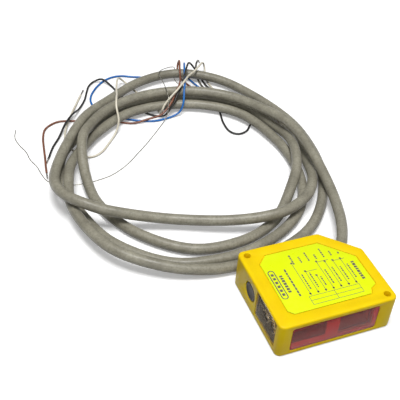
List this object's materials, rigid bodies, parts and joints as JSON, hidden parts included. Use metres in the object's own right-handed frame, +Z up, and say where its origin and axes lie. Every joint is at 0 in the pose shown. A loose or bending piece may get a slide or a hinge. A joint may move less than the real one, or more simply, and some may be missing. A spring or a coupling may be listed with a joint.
{
  "type": "photoelectric sensor",
  "caption": "Flat rectangular photoelectric distance sensor in yellow plastic, with a red front window, smoked indicator window, set button and attached cable with bare wire ends.",
  "frame": {"origin": "centre of the rectangular footprint of the housing, on the plane it stands on", "axes": "+X to the right along the window face seen from the front, +Y to the back, +Z up through the label face"},
  "size_m": [0.1689, 0.2456, 0.02],
  "materials": {
    "housing": "satin moulded yellow plastic",
    "label": "printed film label",
    "window_red": "polished red acrylic",
    "mask_red": "red moulded mask",
    "window_smoke": "polished smoked acrylic",
    "black_plastic": "matt moulded black",
    "rubber": "matt",
    "lens": "clear polished",
    "board": "solder-masked board",
    "tinned": "tinned metal",
    "led": "diffusing white",
    "button": "matt dark grey",
    "jacket": "grey PVC jacket, dull",
    "brown": "brown PVC insulation",
    "blue": "blue PVC insulation",
    "white": "ivory white PVC insulation",
    "black_wire": "black PVC insulation",
    "grey_wire": "grey PVC insulation"
  },
  "bodies": {
    "sensor_body": {"housing_shell": "housing", "base_cover": "housing", "cover_gasket": "rubber", "label_plate": "label", "front_window": "window_red", "window_mask": "mask_red", "indicator_mask": "black_plastic", "indicator_window": "window_smoke", "receiver_chamber": "black_plastic", "emitter_chamber": "black_plastic", "light_baffle": "black_plastic", "receiver_lens": "lens", "emitter_lens": "lens", "optics_board": "board", "receiver_detector": "black_plastic", "emitter_diode": "tinned", "main_board": "board", "processor_chip": "black_plastic", "regulator_chip": "black_plastic", "capacitor_1": "tinned", "capacitor_2": "tinned", "terminal_block": "black_plastic", "side_board": "board", "tactile_switch": "black_plastic", "status_led_1": "led", "status_led_2": "led", "light_pipe_1": "lens", "light_pipe_2": "lens", "cable_gland": "jacket", "cable_inner_end": "jacket", "cable_clamp": "tinned", "inner_lead_brown": "brown", "inner_lead_blue": "blue", "inner_lead_white": "white", "inner_lead_black": "black_wire", "inner_lead_grey": "grey_wire", "cable_jacket": "jacket", "wire_brown": "brown", "wire_blue": "blue", "wire_white": "white", "wire_black": "black_wire", "wire_grey": "grey_wire", "wire_drain": "tinned"},
    "button_body": {"push_button": "button", "switch_plunger": "led"}
  },
  "joints": [
    {"name": "button_press", "type": "slide", "parent": "sensor_body", "child": "button_body", "axis": [1, 0, 0], "range_m": [0, 0.0005], "stiffness_N_per_m": 300}
  ]
}
